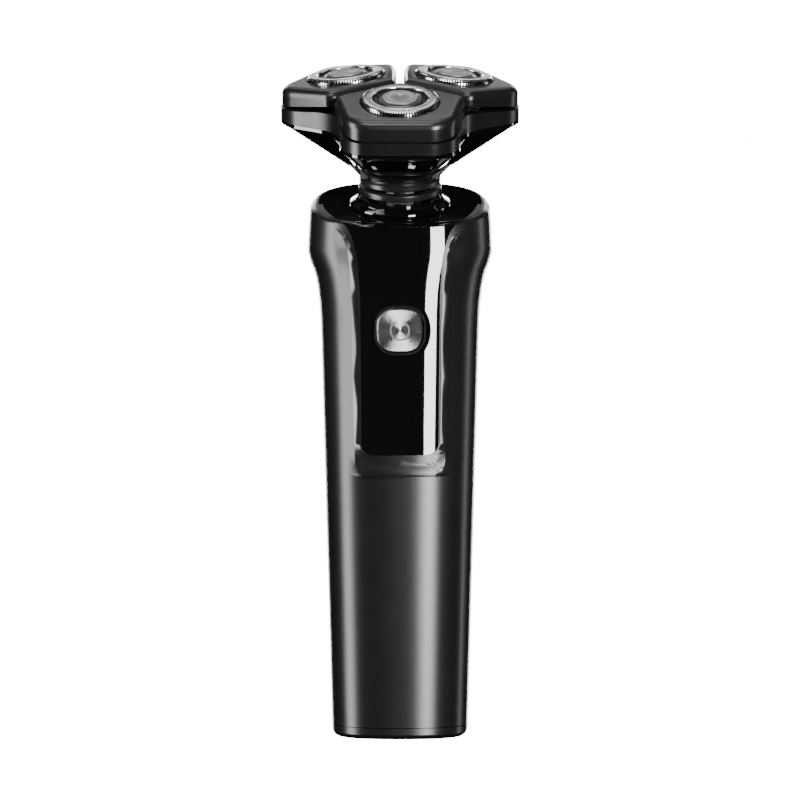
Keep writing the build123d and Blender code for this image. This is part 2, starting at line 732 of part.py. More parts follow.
def centre_gear():
    """Driving gear, its shaft and the winged end that sits in the motor's coupling."""
    wheel = gear(CENTRE_TEETH, 0.0, 0.9)
    shaft = rod(CENTRE_SHAFT_R, GIMBAL_Z - 1.2, GEAR_Z[1])
    wings = block((-0.4, 0.4), (-2.1, 2.1), (GIMBAL_Z - 1.2, GIMBAL_Z + 0.4))
    return HEAD * (wheel + shaft + wings)


def drive_coupling():
    """Cup with two keys on the motor shaft; the keys push the centre shaft's wings."""
    cup = rod(3.5, -1.8, GIMBAL_Z + 0.5) - rod(2.7, GIMBAL_Z - 2.2, GIMBAL_Z + 1)
    for turn in (0, 180):
        cup += Rot(0, 0, turn) * block((1.75, 2.9), (-0.5, 0.5), (GIMBAL_Z - 2.3, GIMBAL_Z + 0.3))
    return HEAD * (cup - rod(1.0, -3, 0.6))


def motor_shaft():
    """Rotor: steel shaft with its wound core inside the case."""
    shaft = rod(1.0, MOTOR_Z[0] + 0.3, 0.6)
    core = rod(MOTOR_R - 1.6, MOTOR_Z[0] + 3.5, MOTOR_Z[1] - 2.5)
    return HEAD * (shaft + core)


def cutter_gear(name):
    """Driven gear under one cutter; half a tooth round from the driving gear's teeth."""
    turn = math.radians(LOBES[name])
    phase = math.pi + (CENTRE_TEETH * turn - math.pi) / CUTTER_TEETH
    return DRIVE[name] * gear(CUTTER_TEETH, phase, SPINDLE_R)


def drive_spindle(name):
    """Post that carries the gear's turning up into the cutter's socket."""
    low = GEAR_PLATE_Z[0]
    tip = SPINDLE_TOP - 1.8
    post = rod(SPINDLE_R, low, tip)
    end = extrude(Pos(0, 0, tip - 0.01) * RegularPolygon(SPINDLE_TIP_R, 3), 1.8)
    return DRIVE[name] * (post + end)


# ------------------------------------------------------------ shaving unit
def ring_top_cut():
    """Everything above the ring's sloping top."""
    rise = 17 * RING_SLOPE
    reach = 60.0
    cone = turned((
        (0, RING_TOP_R17 + rise), (reach, RING_TOP_R17 + rise - reach * RING_SLOPE),
        (reach, 60), (0, 60),
    ))
    return cone


def head_ring():
    """Lobed outer ring, with a pair of ears at each tip for a petal's hinge pin."""
    ring = lobed_prism(RING_BOTTOM, 28, 0) - lobed_prism(RING_BOTTOM - 1, 29, RING_WALL)
    ring -= ring_top_cut()
    ring = HEAD * ring
    for name in LOBES:
        for side in (-1, 1):
            ear = block((HINGE_V - 1.2, 27.4), EAR_U, (HINGE_Z - 1.2, HINGE_Z + 0.7))
            ear = ear.mirror(Plane.XZ) if side < 0 else ear
            ring += LOBE[name] * ear
        ring -= hinge_bore(name, 0)
    return ring


def hinge_bore(name, grow):
    """Cylinder along a petal's hinge axis."""
    bar = Pos(HINGE_V, 0, HINGE_Z) * Rot(90, 0, 0) * rod(HINGE_PIN_R + grow, -HINGE_REACH, HINGE_REACH)
    return LOBE[name] * bar


def petal_pins():
    return Compound(children=[hinge_bore(name, 0) for name in LOBES])


def cutter_retainer():
    """Frame under the cutters: a lobed plate with three round windows."""
    low, high = RETAINER_Z
    plate = HEAD * lobed_prism(low, high, RING_WALL)
    for name in LOBES:
        plate -= LOBE[name] * Pos(DRIVE_R, 0, 0) * rod(WINDOW_R, low - 1, high + 1)
        spokes = block((DRIVE_R - 9, DRIVE_R + 9), (-SPOKE_HALF, SPOKE_HALF), (low, high))
        spokes += block((DRIVE_R - SPOKE_HALF, DRIVE_R + SPOKE_HALF), (-9, 9), (low, high))
        spokes += Pos(DRIVE_R, 0, 0) * rod(3.6, low, high)
        spokes -= Pos(DRIVE_R, 0, 0) * rod(SPINDLE_R + 0.6, low - 1, high + 1)
        plate += LOBE[name] * spokes
    return plate


def petal_outline():
    side_v, side_u = PETAL_SIDE_CORNER
    tip_v, tip_u = PETAL_TIP_CORNER
    points = [(PETAL_APEX, 0), (side_v, side_u), (tip_v, tip_u), (tip_v, -tip_u), (side_v, -side_u)]
    face = Polygon(*points, align=None)
    face = fillet(face.vertices().sort_by(Axis.X)[-2:], PETAL_CORNER_R[1])
    sides = [v for v in face.vertices() if abs(v.X - side_v) < 0.01 and abs(abs(v.Y) - side_u) < 0.01]
    return fillet(sides, PETAL_CORNER_R[0])


def petal(name):
    """Floating frame of one foil, hinged near its tip."""
    form = extrude(Pos(0, 0, 20) * petal_outline(), 16, dir=(0, 0, 1))
    top = Location((DISC_R, 0, DISC_Z), (0, DISC_TILT, 0)) * Pos(0, 0, -PETAL_BELOW_DISC + 30)
    form -= top * Box(120, 120, 60)
    floor = Location((PETAL_TIP_CORNER[0], 0, PETAL_TIP_FLOOR), (0, PETAL_FLOOR_SLOPE, 0))
    form -= floor * Pos(0, 0, -30) * Box(120, 120, 60)
    crown = form.faces().sort_by(Axis.Z)[-1]
    form = fillet(crown.edges(), PETAL_EDGE)
    foot = block((HINGE_V - 1.2, 26.3), (-2.8, 2.8), (HINGE_Z - 0.9, 24.95))
    foot += block((25.5, 27.8), (-2.8, 2.8), (24.3, 25.4))
    disc = Location((DISC_R, 0, DISC_Z), (0, DISC_TILT, 0))
    form -= disc * rod(PETAL_HOLE_R, -12, 3)
    form -= disc * rod(PETAL_POCKET_R, -12, FOIL_FLANGE_Z[1] + 0.1)
    form = LOBE[name] * (form + foot)
    return form - hinge_bore(name, RUNNING_FIT)


def foil(name):
    """Round foil cap: dished middle, channel, polished slot ring, side wall and flange."""
    low, flange = FOIL_FLANGE_Z
    cap = turned((
        (0, -0.35), (5.2, -0.35), (5.4, -0.6), (6.8, -0.6), (7.0, -0.1), (7.3, 0), (9.0, 0),
        (9.5, -0.25), (FOIL_R, -0.8), (FOIL_R, flange), (FOIL_FLANGE_R, flange),
        (FOIL_FLANGE_R, low), (FOIL_INNER_R, low), (FOIL_INNER_R, -0.5), (7.0, -0.5), (7.0, -0.95),
        (0, -0.95),
    ))
    return DISC[name] * cap


def foil_badge(name):
    """Grey cap in the middle of a foil."""
    cap = turned(((0, -0.35), (CAP_R, -0.35), (CAP_R, -0.05), (CAP_R - 0.3, 0.2), (0, 0.25)))
    return DISC[name] * cap


def inner_cutter(name):
    """Spinning cutter: ring of upright blades, carrier plate and hub with a drive socket."""
    plate_z = (SOCKET_ROOF - 0.1, -2.6)
    cutter = tube(BLADE_R[1], 0, *plate_z)
    cutter += rod(HUB_R, HUB_FLOOR, -1.3)
    cutter -= rod(SOCKET_R, HUB_FLOOR - 1, SOCKET_ROOF)
    blade = block(BLADE_R, (-BLADE_THICK / 2, BLADE_THICK / 2), (plate_z[1] - 0.01, CUTTER_TOP))
    for i in range(BLADES):
        cutter += Rot(0, 0, 360 * i / BLADES) * blade
    return DISC[name] * cutter


# ------------------------------------------------------------ all pieces
def build_parts():
    shells = housing()
    parts = {
        "housing_front": shells & block((-60, 60), (-60, SPLIT_Y), (0, 200)),
        "housing_back": shells & block((-60, 60), (SPLIT_Y, 60), (0, 200)),
        "front_panel": front_panel(),
        "bottom_cap": bottom_cap(),
        "foot_screws": foot_screws(),
        "charge_socket": charge_socket(),
        "socket_gasket": socket_gasket(),
        "inner_frame": chassis(),
        "main_board": main_board(),
        "board_components": board_components(),
        "board_screws": board_screws(),
        "tact_switch": tact_switch(),
        "charge_led": charge_led(),
        "battery_cell": battery_cell(),
        "battery_tabs": battery_tabs(),
        "motor_case": motor_case(),
        "motor_end_cap": motor_end_cap(),
        "motor_bracket": motor_bracket(),
        "motor_screws": motor_screws(),
        "motor_shaft": motor_shaft(),
        "drive_coupling": drive_coupling(),
        "button_bezel": button_bezel(),
        "power_button": power_button(),
        "button_plunger": button_plunger(),
        "neck_collar": neck_collar(),
        "gimbal_ring": gimbal_ring(),
        "gimbal_pins": gimbal_pins(),
        "neck_ring": neck_ring(),
        "head_bowl": head_bowl(),
        "shaft_seal": shaft_seal(),
        "gear_plate": gear_plate(),
        "gear_plate_screws": gear_plate_screws(),
        "gear_cover": gear_cover(),
        "centre_gear": centre_gear(),
        "head_ring": head_ring(),
        "petal_pins": petal_pins(),
        "cutter_retainer": cutter_retainer(),
    }
    for name in LOBES:
        parts["cutter_gear_" + name] = cutter_gear(name)
        parts["drive_spindle_" + name] = drive_spindle(name)
        parts["petal_" + name] = petal(name)
        parts["foil_" + name] = foil(name)
        parts["foil_badge_" + name] = foil_badge(name)
        parts["inner_cutter_" + name] = inner_cutter(name)
    return parts


os.makedirs("parts", exist_ok=True)
for node, shape in build_parts().items():
    export_step(shape, "parts/" + node + ".step")
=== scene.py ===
import json
import math

import bmesh
import bpy
from mathutils import Matrix, Vector

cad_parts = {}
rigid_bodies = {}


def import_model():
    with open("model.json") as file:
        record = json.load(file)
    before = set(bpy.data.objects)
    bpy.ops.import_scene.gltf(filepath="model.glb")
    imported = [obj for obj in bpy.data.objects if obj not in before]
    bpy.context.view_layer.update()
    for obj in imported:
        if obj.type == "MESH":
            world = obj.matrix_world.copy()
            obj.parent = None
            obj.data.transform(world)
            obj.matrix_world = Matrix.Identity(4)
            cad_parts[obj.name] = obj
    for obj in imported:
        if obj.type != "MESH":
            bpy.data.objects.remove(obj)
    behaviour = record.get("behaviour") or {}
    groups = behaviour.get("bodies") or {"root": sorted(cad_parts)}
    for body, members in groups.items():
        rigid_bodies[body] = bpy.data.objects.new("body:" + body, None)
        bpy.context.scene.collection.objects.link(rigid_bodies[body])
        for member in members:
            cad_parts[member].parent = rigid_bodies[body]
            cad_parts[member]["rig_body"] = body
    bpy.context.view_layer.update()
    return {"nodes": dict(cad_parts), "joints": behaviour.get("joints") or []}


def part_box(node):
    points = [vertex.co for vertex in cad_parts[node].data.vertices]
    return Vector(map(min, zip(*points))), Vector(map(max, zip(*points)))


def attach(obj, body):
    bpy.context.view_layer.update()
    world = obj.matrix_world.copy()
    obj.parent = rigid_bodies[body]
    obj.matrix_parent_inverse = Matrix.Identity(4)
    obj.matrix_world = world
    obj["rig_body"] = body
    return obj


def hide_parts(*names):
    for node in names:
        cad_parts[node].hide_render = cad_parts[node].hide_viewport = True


# Electric shaver on a plain floor. Metres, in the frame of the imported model.

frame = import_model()

MM = 0.001
NODES = frame["nodes"]
LOBES = {"front": -90.0, "right": 30.0, "left": 150.0}
JOINTS = {j["name"]: j for j in frame["joints"]}

# ------------------------------------------------------------ camera
CAMERA_DISTANCE = 1.2
CAMERA_HEIGHT = 0.118
AIM_HEIGHT = 0.0838
LENS = 216.0


def make_camera():
    data = bpy.data.cameras.new("camera")
    data.lens = LENS
    data.sensor_width = 36.0
    camera = bpy.data.objects.new("camera", data)
    bpy.context.scene.collection.objects.link(camera)
    place = Vector((0, -CAMERA_DISTANCE, CAMERA_HEIGHT))
    aim = Vector((0, 0, AIM_HEIGHT))
    camera.location = place
    camera.rotation_mode = "QUATERNION"
    camera.rotation_quaternion = (aim - place).to_track_quat("-Z", "Y")
    data.clip_end = 100.0
    bpy.context.scene.camera = camera


# ------------------------------------------------------------ light and floor
def area_light(name, azimuth, distance, height, width, tall, power):
    """Soft box round the object; azimuth 0 is on the camera's side, 90 to its right."""
    data = bpy.data.lights.new(name, "AREA")
    data.shape = "RECTANGLE"
    data.size = width
    data.size_y = tall
    data.energy = power
    lamp = bpy.data.objects.new(name, data)
    bpy.context.scene.collection.objects.link(lamp)
    turn = math.radians(azimuth)
    lamp.location = (distance * math.sin(turn), -distance * math.cos(turn), height)
    lamp.rotation_mode = "QUATERNION"
    look = Vector((0, 0, LIGHT_AIM)) - lamp.location
    lamp.rotation_quaternion = look.to_track_quat("-Z", "Y")


# Soft boxes: name, azimuth, distance, height, width, tallness, power
LIGHTS = (
    ("strip_right", 26.2, 1.0, 0.1, 0.26, 0.62, 22.0),
    ("softbox_left", -74.0, 0.8, 0.1, 0.28, 0.9, 13.0),
    ("rim_right", 112.0, 0.9, 0.12, 0.12, 0.8, 1.2),
    ("back_left", -166.0, 1.0, 0.2, 0.16, 0.7, 5.0),
    ("back_right", 166.0, 1.0, 0.2, 0.16, 0.7, 5.0),
    ("top", 180.0, 0.62, 1.08, 1.0, 0.26, 1.7),
    ("overhead", 0.0, 0.1, 1.3, 0.7, 0.6, 5.0),
    ("low_back", 180.0, 0.95, 0.62, 0.9, 0.1, 0.7),
    ("top_front", -12.0, 0.75, 0.95, 0.6, 0.2, 5.0),
)
LIGHT_AIM = 0.09            # height that every soft box looks at
WHITE_STRENGTH = 16.0       # bright enough to come out as plain white
DARK_ROOM = (0.004, 0.004, 0.0045, 1)
DIM_CEILING = (0.12, 0.12, 0.125, 1)
FLOOR_HALF = 6.0


def make_studio():
    """Lights, a white backdrop that only the camera sees, a dim room for the rest, and the floor."""
    for light in LIGHTS:
        area_light(*light)
    make_world()
    make_floor()


def make_world():
    world = bpy.data.worlds.new("studio")
    bpy.context.scene.world = world
    world.use_nodes = True
    tree = world.node_tree
    tree.nodes.clear()
    out = tree.nodes.new("ShaderNodeOutputWorld")
    mix = tree.nodes.new("ShaderNodeMixShader")
    path = tree.nodes.new("ShaderNodeLightPath")
    seen = tree.nodes.new("ShaderNodeBackground")
    seen.inputs["Color"].default_value = (1, 1, 1, 1)
    seen.inputs["Strength"].default_value = WHITE_STRENGTH
    around = tree.nodes.new("ShaderNodeBackground")
    around.inputs["Strength"].default_value = 1.0
    coord = tree.nodes.new("ShaderNodeTexCoord")
    split = tree.nodes.new("ShaderNodeSeparateXYZ")
    ramp = tree.nodes.new("ShaderNodeValToRGB")
    ramp.color_ramp.elements[0].position = 0.55
    ramp.color_ramp.elements[0].color = DARK_ROOM
    ramp.color_ramp.elements[1].position = 1.0
    ramp.color_ramp.elements[1].color = DIM_CEILING
    tree.links.new(coord.outputs["Generated"], split.inputs[0])
    tree.links.new(split.outputs["Z"], ramp.inputs[0])
    tree.links.new(ramp.outputs[0], around.inputs["Color"])
    tree.links.new(path.outputs["Is Camera Ray"], mix.inputs[0])
    tree.links.new(around.outputs[0], mix.inputs[1])
    tree.links.new(seen.outputs[0], mix.inputs[2])
    tree.links.new(mix.outputs[0], out.inputs[0])


def make_floor():
    size = FLOOR_HALF
    mesh = bpy.data.meshes.new("floor")
    corners = [(-size, -size, 0), (size, -size, 0), (size, size, 0), (-size, size, 0)]
    mesh.from_pydata(corners, [], [(0, 1, 2, 3)])
    floor = bpy.data.objects.new("floor", mesh)
    bpy.context.scene.collection.objects.link(floor)
    floor.visible_glossy = False
    floor.visible_diffuse = False
    paint = bpy.data.materials.new("floor_white")
    paint.use_nodes = True
    shader = paint.node_tree.nodes["Principled BSDF"]
    shader.inputs["Base Color"].default_value = (0.9, 0.9, 0.9, 1)
    shader.inputs["Roughness"].default_value = 1.0
    shader.inputs["Specular IOR Level"].default_value = 0.0
    shader.inputs["Emission Color"].default_value = (1, 1, 1, 1)
    shader.inputs["Emission Strength"].default_value = WHITE_STRENGTH
    mesh.materials.append(paint)


# ------------------------------------------------------------ materials
class Paint:
    """A Principled material with helpers for procedural detail in object coordinates."""

    def __init__(self, name, colour, roughness, metallic=0.0):
        self.material = bpy.data.materials.new(name)
        self.material.use_nodes = True
        self.tree = self.material.node_tree
        self.shader = self.tree.nodes["Principled BSDF"]
        self.shader.inputs["Base Color"].default_value = (*colour, 1)
        self.shader.inputs["Roughness"].default_value = roughness
        self.shader.inputs["Metallic"].default_value = metallic
        self.coord = self.tree.nodes.new("ShaderNodeTexCoord")

    def node(self, kind, **values):
        made = self.tree.nodes.new(kind)
        for key, value in values.items():
            made.inputs[key.replace("_", " ")].default_value = value
        return made

    def link(self, start, end):
        self.tree.links.new(start, end)

    def noise(self, scale, detail=3.0, stretch=(1, 1, 1)):
        mapping = self.node("ShaderNodeMapping", Scale=stretch)
        self.link(self.coord.outputs["Object"], mapping.inputs["Vector"])
        texture = self.node("ShaderNodeTexNoise", Scale=scale, Detail=detail)
        self.link(mapping.outputs[0], texture.inputs["Vector"])
        return texture.outputs["Fac"]

    def vary_roughness(self, source, low, high):
        ramp = self.node("ShaderNodeMapRange")
        ramp.inputs["To Min"].default_value = low
        ramp.inputs["To Max"].default_value = high
        self.link(source, ramp.inputs["Value"])
        self.link(ramp.outputs[0], self.shader.inputs["Roughness"])

    def vary_colour(self, source, dark, light):
        ramp = self.node("ShaderNodeValToRGB")
        ramp.color_ramp.elements[0].color = (*dark, 1)
        ramp.color_ramp.elements[1].color = (*light, 1)
        ramp.color_ramp.elements[0].position = 0.3
        ramp.color_ramp.elements[1].position = 0.7
        self.link(source, ramp.inputs[0])
        self.link(ramp.outputs[0], self.shader.inputs["Base Color"])

    def bump(self, source, strength, distance):
        bump = self.node("ShaderNodeBump", Strength=strength, Distance=distance)
        self.link(source, bump.inputs["Height"])
        self.link(bump.outputs[0], self.shader.inputs["Normal"])
        self.link(bump.outputs[0], self.shader.inputs["Coat Normal"])


def satin_black():
    """Moulded satin plastic with a fine spark-eroded grain."""
    paint = Paint("satin_black", (0.008, 0.0084, 0.009), 0.28)
    grain = paint.noise(5200, 2.0)
    paint.vary_roughness(grain, 0.28, 0.34)
    paint.bump(grain, 0.05, 0.00001)
    paint.vary_colour(paint.noise(140, 4.0), (0.006, 0.0064, 0.007), (0.0085, 0.009, 0.01))
    return paint.material


DISH_DEPTH = 0.0002
DISH_R = (0.0058, 0.0079)     # where the dish levels out inside and outside


def gloss_black(name="gloss_black"):
    """Piano black: a clear coat over a black base with faint polishing haze."""
    paint = Paint(name, (0.003, 0.003, 0.0035), 0.05)
    paint.vary_roughness(paint.noise(60, 5.0), 0.02, 0.06)
    paint.shader.inputs["Coat Weight"].default_value = 0.6
    paint.shader.inputs["Coat Roughness"].default_value = 0.02
    return paint


def panel_black(middle):
    """The panel's gloss black, pressed into a shallow dish round the power button."""
    paint = gloss_black("panel_black")
    mapping = paint.node("ShaderNodeMapping")
    mapping.vector_type = "POINT"
    mapping.inputs["Location"].default_value = (-middle.x, 0, -middle.z)
    mapping.inputs["Scale"].default_value = (1, 0, 1)
    paint.link(paint.coord.outputs["Object"], mapping.inputs["Vector"])
    length = paint.node("ShaderNodeVectorMath")
    length.operation = "LENGTH"
    paint.link(mapping.outputs[0], length.inputs[0])
    dish = paint.node("ShaderNodeMapRange")
    dish.interpolation_type = "SMOOTHSTEP"
    dish.inputs["From Min"].default_value = DISH_R[0]
    dish.inputs["From Max"].default_value = DISH_R[1]
    paint.link(length.outputs["Value"], dish.inputs["Value"])
    paint.bump(dish.outputs[0], 1.0, DISH_DEPTH)
    return paint.material


def head_black():
    """Semi-gloss black of the petals and the outer ring."""
    paint = Paint("head_black", (0.007, 0.007, 0.008), 0.3)
    grain = paint.noise(4200, 2.0)
    paint.vary_roughness(paint.noise(90, 4.0), 0.26, 0.34)
    paint.bump(grain, 0.06, 0.00002)
    return paint.material


def rib_black():
    paint = Paint("rib_black", (0.01, 0.01, 0.011), 0.3)
    paint.vary_roughness(paint.noise(400, 4.0), 0.26, 0.38)
    paint.bump(paint.noise(3000, 2.0), 0.08, 0.00002)
    return paint.material


def turned_steel(name, roughness, colour=(0.62, 0.62, 0.63)):
    """Steel with fine machining lines and slight tone changes."""
    paint = Paint(name, colour, roughness, 1.0)
    lines = paint.noise(900, 4.0, (1, 1, 6))
    paint.vary_roughness(lines, roughness * 0.75, roughness * 1.3)
    paint.bump(lines, 0.06, 0.00002)
    return paint.material


def spun_metal(name, centre, colour, roughness):
    """Face-turned metal: rings of fine grooves and an anisotropic radial glint."""
    paint = Paint(name, colour, roughness, 1.0)
    mapping = paint.node("ShaderNodeMapping")
    mapping.inputs["Location"].default_value = [-c for c in centre]
    paint.link(paint.coord.outputs["Object"], mapping.inputs["Vector"])
    squash = paint.node("ShaderNodeVectorMath")
    squash.operation = "MULTIPLY"
    squash.inputs[1].default_value = (1, 0, 1)
    paint.link(mapping.outputs[0], squash.inputs[0])
    length = paint.node("ShaderNodeVectorMath")
    length.operation = "LENGTH"
    paint.link(squash.outputs[0], length.inputs[0])
    rings = paint.node("ShaderNodeTexNoise", Scale=9000.0, Detail=3.0)
    rings.noise_dimensions = "1D"
    paint.link(length.outputs["Value"], rings.inputs["W"])
    paint.vary_roughness(rings.outputs["Fac"], roughness * 0.8, roughness * 1.25)
    paint.bump(rings.outputs["Fac"], 0.15, 0.00002)
    paint.shader.inputs["Anisotropic"].default_value = 0.85
    across = paint.node("ShaderNodeVectorMath")
    across.operation = "CROSS_PRODUCT"
    across.inputs[1].default_value = (0, 1, 0)
    paint.link(squash.outputs[0], across.inputs[0])
    paint.link(across.outputs[0], paint.shader.inputs["Tangent"])
    return paint.material


def plain_plastic(name, colour, roughness):
    paint = Paint(name, colour, roughness)
    lighter = tuple(min(1.0, c * 1.15) for c in colour)
    paint.vary_colour(paint.noise(300, 4.0), colour, lighter)
    paint.bump(paint.noise(2500, 2.0), 0.08, 0.00003)
    return paint.material


def assign(material, *nodes):
    for name in nodes:
        data = NODES[name].data
        data.materials.clear()
        data.materials.append(material)


def dress_cad():
    satin = satin_black()
    gloss = gloss_black().material
    head = head_black()
    rib = rib_black()
    steel = turned_steel("turned_steel", 0.28)
    bright = turned_steel("bright_trim", 0.12, (0.8, 0.8, 0.81))
    # Near-black steel for the inner cutters: painted shade for the cutters seen through the foil
    # slots.
    cutter_shade = turned_steel("cutter_painted_shade", 0.4, (0.07, 0.07, 0.072))
    low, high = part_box("power_button")
    middle = (low + high) / 2
    key = spun_metal("spun_key", middle, (0.72, 0.72, 0.73), 0.24)
    inner = plain_plastic("inner_grey", (0.06, 0.06, 0.065), 0.5)
    acetal = plain_plastic("acetal", (0.75, 0.73, 0.66), 0.4)
    board = plain_plastic("solder_mask", (0.02, 0.13, 0.05), 0.3)
    rubber = plain_plastic("soft_rubber", (0.02, 0.02, 0.02), 0.7)
    wrap = plain_plastic("shrink_wrap", (0.03, 0.12, 0.35), 0.25)
    lens = plain_plastic("led_lens", (0.8, 0.85, 0.9), 0.1)
    sheet = turned_steel("pressed_sheet", 0.35, (0.7, 0.7, 0.71))
    assign(satin, "housing_front", "housing_back", "bottom_cap")
    assign(panel_black(middle), "front_panel")
    assign(gloss, "neck_collar", "head_bowl")
    assign(rib, "gimbal_ring", "neck_ring")
    assign(head, "head_ring", *["petal_" + n for n in LOBES])
    assign(steel, "foot_screws", "board_screws", "motor_screws", "gear_plate_screws", "gimbal_pins")
    assign(steel, "petal_pins", "motor_shaft", "motor_case")
    assign(cutter_shade, *["inner_cutter_" + n for n in LOBES])
    assign(sheet, "charge_socket", "battery_tabs", "motor_bracket")
    assign(bright, "button_bezel")
    assign(key, "power_button")
    assign(inner, "inner_frame", "motor_end_cap", "gear_plate", "gear_cover", "cutter_retainer")
    assign(inner, "tact_switch", "board_components")
    assign(board, "main_board")
    assign(lens, "charge_led")
    assign(wrap, "battery_cell")
    assign(rubber, "socket_gasket", "shaft_seal", "button_plunger")
    assign(acetal, "drive_coupling", "centre_gear")
    assign(acetal, *["cutter_gear_" + n for n in LOBES], *["drive_spindle_" + n for n in LOBES])


# ------------------------------------------------------------ smooth skins of the shells
HANDLE_STATIONS = (
    (3.0, 17.0, 15.2, 14.6),
    (52.0, 18.36, 16.46, 15.96),
    (100.0, 19.7, 17.7, 17.3),
    (104.5, 19.85, 17.85, 17.5),
    (108.5, 20.1, 18.0, 17.7),
    (112.0, 20.55, 18.15, 17.95),
    (114.5, 21.0, 18.25, 18.15),
    (116.5, 21.6, 18.35, 18.35),
    (118.5, 22.4, 18.45, 18.5),
    (121.0, 23.0, 18.5, 18.7),
    (125.0, 22.85, 18.6, 18.9),
    (144.0, 21.9, 18.5, 19.0),
)
SQUARENESS = 2.5
SMOOTHING = (-1.5, -0.75, 0.0, 0.75, 1.5)     # heights in mm over which a size is averaged
SLOPE_STEP = 0.05          # mm, for the slope of the form
ON_FORM = 0.03              # how near the handle's form a corner must be, in units of its level
CREST_LEVEL = 0.2           # the rim's crest stands this far out at most
CREST_TURN = 3.0            # outward-turned corners at the crest, x of the normal times x in mm
SAME_WAY = 0.9              # cosine within which a corner follows the form


GROOVE_R = 0.0027          # the button's ring groove lies within this radius; its faces get painted shade
GROOVE_DEPTH = (0.00002, 0.0004)
SMOOTH_TO = 35             # degrees; sharper bends keep their edge
WELD = 2e-6


def station_value(z, column):
    """Size of the handle's section at a height, smoothed across the stations."""
    total = 0.0
    first, second = HANDLE_STATIONS[0], HANDLE_STATIONS[1]
    for step in SMOOTHING:
        height = z + step
        value = HANDLE_STATIONS[-1][column]
        if height <= first[0]:
            slope = (second[column] - first[column]) / (second[0] - first[0])
            value = first[column] + slope * (height - first[0])
        else:
            for low, high in zip(HANDLE_STATIONS, HANDLE_STATIONS[1:]):
                if height <= high[0]:
                    share = (height - low[0]) / (high[0] - low[0])
                    value = low[column] + share * (high[column] - low[column])
                    break
        total += value / len(SMOOTHING)
    return total


def form_level(point):
    """Zero on the handle's form, positive outside; the point is in mm."""
    width = station_value(point.z, 1)
    depth = station_value(point.z, 2 if point.y < 0 else 3)
    return (abs(point.x) / width) ** SQUARENESS + (abs(point.y) / depth) ** SQUARENESS - 1


def form_normal(point):
    step = SLOPE_STEP
    here = Vector(point)
    ways = (Vector((step, 0, 0)), Vector((0, step, 0)), Vector((0, 0, step)))
    slope = [form_level(here + w) - form_level(here - w) for w in ways]
    return Vector(slope).normalized()


def skin_of(node, follow_form=False):
    """A joined-up copy of a CAD node with clean shading; it stands for that node."""
    source = NODES[node]
    mesh = source.data.copy()
    mesh.name = node + "_skin"
    stored = mesh.attributes.get("custom_normal")
    if stored is not None:
        mesh.attributes.remove(stored)
    bm = bmesh.new()
    bm.from_mesh(mesh)
    bmesh.ops.remove_doubles(bm, verts=bm.verts, dist=WELD)
    for face in bm.faces:
        face.smooth = True
    bm.to_mesh(mesh)
    bm.free()
    mesh.set_sharp_from_angle(angle=math.radians(SMOOTH_TO))
    if follow_form:
        follow_handle(mesh)
    piece = bpy.data.objects.new(node + "_skin", mesh)
    bpy.context.scene.collection.objects.link(piece)
    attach(piece, source["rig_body"])
    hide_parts(node)
    return piece


def paint_groove_shade(piece, material):
    """The faces of the button's ring groove get a darker, rougher steel: painted shade in the groove.
    """
    mesh = piece.data
    mesh.materials.append(material)
    face_y = min(v.co.y for v in mesh.vertices)
    low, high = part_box("power_button")
    middle = (low + high) / 2
    for face in mesh.polygons:
        away = math.hypot(face.center.x - middle.x, face.center.z - middle.z)
        below = face.center.y - face_y
        if away < GROOVE_R and GROOVE_DEPTH[0] < below < GROOVE_DEPTH[1]:
            face.material_index = 1


def follow_handle(mesh):
    """Corners that lie on the handle's form and look its way take the form's own normals."""
    corners = [n.vector.copy() for n in mesh.corner_normals]
    normals = {}
    for vertex in mesh.vertices:
        spot = vertex.co / MM
        if abs(form_level(spot)) < ON_FORM:
            normals[vertex.index] = form_normal(spot)
    for loop in mesh.loops:
        form = normals.get(loop.vertex_index)
        corner = corners[loop.index]
        if form is not None:
            if form.dot(corner) > SAME_WAY:
                corners[loop.index] = form
            continue
        spot = mesh.vertices[loop.vertex_index].co / MM
        if 0 < form_level(spot) < CREST_LEVEL and corner.x * spot.x > CREST_TURN:
            corners[loop.index] = (corner + form_normal(spot)).normalized()
    mesh.normals_split_custom_set([tuple(n) for n in corners])


def make_skins():
    for node in ("housing_front", "housing_back", "front_panel", "bottom_cap"):
        skin_of(node, True)
    for node in ("head_bowl", "head_ring", "neck_collar", "gimbal_ring", "neck_ring"):
        skin_of(node)
    # Darker steel for the ring groove of the button: painted shade in the groove.
    groove_shade = turned_steel("painted_groove_shade", 0.45, (0.2, 0.2, 0.2))
    paint_groove_shade(skin_of("power_button"), groove_shade)
    for name in LOBES:
        skin_of("petal_" + name)


# ------------------------------------------------------------ slotted foils
# Closed outlines as (radius, height) in mm, height from the disc's top
SLOTS = 90
BAR_SHARE = 0.52            # share of the slotted rim that the bars take
BAR_WIDTH_R = 8.6           # radius at which that share is measured
ROUND_STEPS = 180
CAP_STEPS = 96
FOIL_WALL = ((9.7, -1.75), (9.7, -3.3), (10.6, -3.3), (10.6, -3.9), (9.3, -3.9), (9.3, -1.75))
FOIL_BAND = ((6.75, -0.55), (6.82, -0.1), (6.95, 0.0), (7.4, 0.0), (7.4, -0.3), (7.1, -0.55))
FOIL_CHANNEL = (
    (4.2, -0.55), (4.2, -0.3), (5.15, -0.3), (5.3, -0.55), (6.9, -0.55), (6.9, -0.8), (4.2, -0.8),
)
BAR_OUTLINE = (
    (7.35, 0.0), (8.3, 0.0), (9.0, -0.06), (9.4, -0.28), (9.62, -0.62), (9.7, -1.0), (9.7, -1.8),
    (9.4, -1.8), (9.4, -1.0), (9.32, -0.72), (9.15, -0.5), (8.9, -0.36), (8.3, -0.3), (7.35, -0.3),
)
